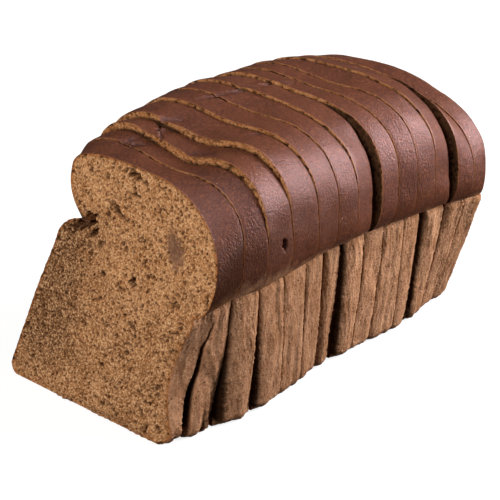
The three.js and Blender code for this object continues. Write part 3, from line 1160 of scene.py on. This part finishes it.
def crumb_material():
    """Open rye crumb: tan, with pores and holes darkened brown by painted shade, painted shade on its left
    side and low down, and a painted shadow in the gaps between slices.
    """
    n = Nodes("crumb")
    fine = n.noise(*CRUMB_FINE)
    face_shade = n.value("face_shade")
    patch = n.value("patch")
    base = n.mix(n.span(n.noise(*CRUMB_BLOTCH), *CRUMB_SPAN), colour(CRUMB_TAN), colour(CRUMB_LIGHT))
    base = n.lay(base, fine, CRUMB_FLECK)
    base = n.lay(base, fine, CRUMB_FINE_DARK)
    base = n.lay(base, patch, PATCH_GREY)
    # Painted shade on the left and at the foot of the cut face.
    base = n.lay(base, n.math("MULTIPLY", face_shade, n.span(fine, *DARK_GRAIN_SPAN)), CRUMB_PAINTED_SHADE_GRAIN)
    base = n.lay(base, face_shade, CRUMB_PAINTED_SIDE_SHADE)
    base = n.lay(base, n.value("edge"), CRUMB_RIM)
    small_dots = n.math("MULTIPLY", n.specks(*CRUMB_SMALL_DOTS), SMALL_DOTS_PART)
    dots = n.math("MAXIMUM", small_dots, n.specks(*CRUMB_LARGE_DOTS))
    base = n.lay(base, n.math("SUBTRACT", dots, patch), CRUMB_DOT)
    # Painted shade in the pores and holes.
    base = n.lay(base, n.value("pore"), PORE_PAINTED_SHADE)
    # Painted shadow in the gaps between slices.
    base = n.lay(base, n.value("deep"), CRUMB_PAINTED_SHADOW)
    n.feed("Base Color", base)
    n.feed("Roughness", CRUMB_ROUGHNESS)
    n.feed("Specular IOR Level", CRUMB_SHINE)
    n.feed("Normal", n.bump(fine, *CRUMB_BUMP))
    return n.material


def wall_colour(n):
    """Pale fibrous side of a slice below the cap."""
    streak = n.noise(*WALL_STREAK)
    fine = n.noise(*WALL_FINE)
    base = n.mix(n.span(n.noise(*WALL_BLOTCH), *WALL_SPAN), colour(WALL_BROWN), colour(WALL_TAN))
    base = n.lay(base, streak, WALL_PALE)
    base = n.lay(base, streak, WALL_DARK)
    base = n.lay(base, fine, WALL_FLECK)
    base = n.lay(base, fine, WALL_FINE_DARK)
    return n.lay(base, n.specks(*WALL_DOTS), WALL_DOT)


def crust_colour(n):
    """Dark baked crust with a fine mottle, pale dots, and painted shade in its cracks and hole."""
    mottle = n.noise(*CRUST_MOTTLE)
    base = n.mix(n.span(n.noise(*CRUST_BLOTCH), *CRUST_SPAN), colour(CRUST_DARK), colour(CRUST_BROWN))
    base = n.lay(base, mottle, CRUST_PALE_MOTTLE)
    base = n.lay(base, mottle, CRUST_DARK_MOTTLE)
    dots = n.math("MAXIMUM", n.specks(*CRUST_LARGE_DOTS), n.specks(*CRUST_SMALL_DOTS))
    base = n.lay(base, dots, CRUST_DOT)
    return n.lay(base, n.value("crack_shade"), CRACK_PAINTED_SHADE)


def crust_material():
    """Skin of a slice: crust on the cap, paler fibrous wall below it, and painted shade that darkens it in
    places and takes off its shine.
    """
    n = Nodes("crust")
    crust = n.value("crust")
    deep = n.value("deep")
    base = n.mix(crust, wall_colour(n), crust_colour(n))
    base = n.lay(base, n.value("edge"), CUT_EDGE)
    # Painted shade, kept as deep: darker in the grooves, the split, low on the cap and on some walls, with
    # less shine there.
    base = n.lay(base, deep, SKIN_PAINTED_SHADE)
    roughness = n.span(crust, *CRUST_SHINE_SPAN, WALL_ROUGHNESS, CRUST_ROUGHNESS)
    shine = n.span(crust, *CRUST_SHINE_SPAN, WALL_SHINE, CRUST_SHINE)
    n.feed("Base Color", base)
    n.feed("Roughness", roughness)
    n.feed("Specular IOR Level", n.math("SUBTRACT", shine, deep))
    n.feed("Specular Tint", CRUST_SHINE_TINT)
    n.feed("Normal", n.bump(n.noise(*CRUST_FINE), *CRUST_BUMP))
    return n.material


# Slices

def make_slice(name, materials):
    """One slice that stands for its CAD node."""
    band = Band(name)
    work_band(band)
    piece = Piece()
    add_band(piece, band)
    if name == FIRST:
        add_cut_face(piece, band.points[0])
    else:
        add_strip_face(piece, band.points[0], RIM_STEPS, True, band)
    if name == HEEL:
        add_heel_back(piece, band)
    else:
        add_strip_face(piece, band.points[-1], BACK_STEPS, False, band)
    made = bpy.data.objects.new(name.replace("slice", "bread"), make_mesh(name, piece))
    for material in materials:
        made.data.materials.append(material)
    bpy.context.scene.collection.objects.link(made)
    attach(made, "root")
    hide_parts(name)


# Stage

def add_light(name, place, aim, size, power, tint):
    """A soft rectangular lamp turned towards a point."""
    lamp = bpy.data.lights.new(name, "AREA")
    lamp.shape = "RECTANGLE"
    lamp.size = size[0] * MM
    lamp.size_y = size[1] * MM
    lamp.energy = power
    lamp.color = tint
    holder = bpy.data.objects.new(name, lamp)
    holder.location = Vector(place) * MM
    holder.rotation_mode = "QUATERNION"
    holder.rotation_quaternion = (Vector(aim) - Vector(place)).to_track_quat("-Z", "Y")
    bpy.context.scene.collection.objects.link(holder)


def floor_material():
    """White that is lit by itself, so that it stays even, and takes a soft shadow."""
    material = bpy.data.materials.new("floor")
    material.use_nodes = True
    shader = material.node_tree.nodes["Principled BSDF"]
    shader.inputs["Base Color"].default_value = FLOOR_GREY
    shader.inputs["Roughness"].default_value = 1
    shader.inputs["Specular IOR Level"].default_value = 0
    shader.inputs["Emission Color"].default_value = WHITE
    shader.inputs["Emission Strength"].default_value = FLOOR_GLOW
    return material


def add_floor():
    """A plain white floor with white walls far off, which throw no light back onto the loaf."""
    mesh = bpy.data.meshes.new("floor")
    corners = [(-STUDIO_HALF, -STUDIO_HALF), (STUDIO_HALF, -STUDIO_HALF)]
    corners += [(STUDIO_HALF, STUDIO_HALF), (-STUDIO_HALF, STUDIO_HALF)]
    points = [(x, y, z) for z in (0, STUDIO_HEIGHT) for x, y in corners]
    walls = [(i, (i + 1) % 4, (i + 1) % 4 + 4, i + 4) for i in range(4)]
    mesh.from_pydata(points, [], [(0, 1, 2, 3)] + walls)
    floor = bpy.data.objects.new("floor", mesh)
    floor.visible_diffuse = False
    floor.visible_glossy = False
    mesh.materials.append(floor_material())
    bpy.context.scene.collection.objects.link(floor)


def add_world():
    """Soft light from above, fading to dark below the horizon."""
    world = bpy.data.worlds.new("studio")
    world.use_nodes = True
    nodes = world.node_tree.nodes
    links = world.node_tree.links
    sky = nodes["Background"]
    height = nodes.new("ShaderNodeSeparateXYZ")
    links.new(nodes.new("ShaderNodeTexCoord").outputs["Generated"], height.inputs[0])
    fade = nodes.new("ShaderNodeMapRange")
    links.new(height.outputs["Z"], fade.inputs["Value"])
    sockets = ("From Min", "From Max", "To Min", "To Max")
    for socket, value in zip(sockets, SKY_HEIGHTS + SKY_STRENGTHS):
        fade.inputs[socket].default_value = value
    links.new(fade.outputs[0], sky.inputs["Strength"])
    sky.inputs["Color"].default_value = WHITE
    bpy.context.scene.world = world
    bpy.context.scene.view_settings.view_transform = "Standard"


def add_camera():
    """A camera at the photograph's viewing angle."""
    data = bpy.data.cameras.new("camera")
    data.lens = CAMERA_LENS
    data.sensor_width = CAMERA_SENSOR
    data.clip_end = CAMERA_FAR
    camera = bpy.data.objects.new("camera", data)
    camera.location = Vector(CAMERA_AT) * MM
    camera.rotation_mode = "QUATERNION"
    camera.rotation_quaternion = (Vector(CAMERA_AIM) - Vector(CAMERA_AT)).to_track_quat("-Z", "Y")
    bpy.context.scene.collection.objects.link(camera)
    bpy.context.scene.camera = camera


def main():
    """Builds the loaf and the stage round it."""
    materials = [crust_material(), crumb_material()]
    for name in SLICES:
        make_slice(name, materials)
    add_floor()
    add_world()
    for light in LIGHTS:
        add_light(**light)
    add_camera()


main()
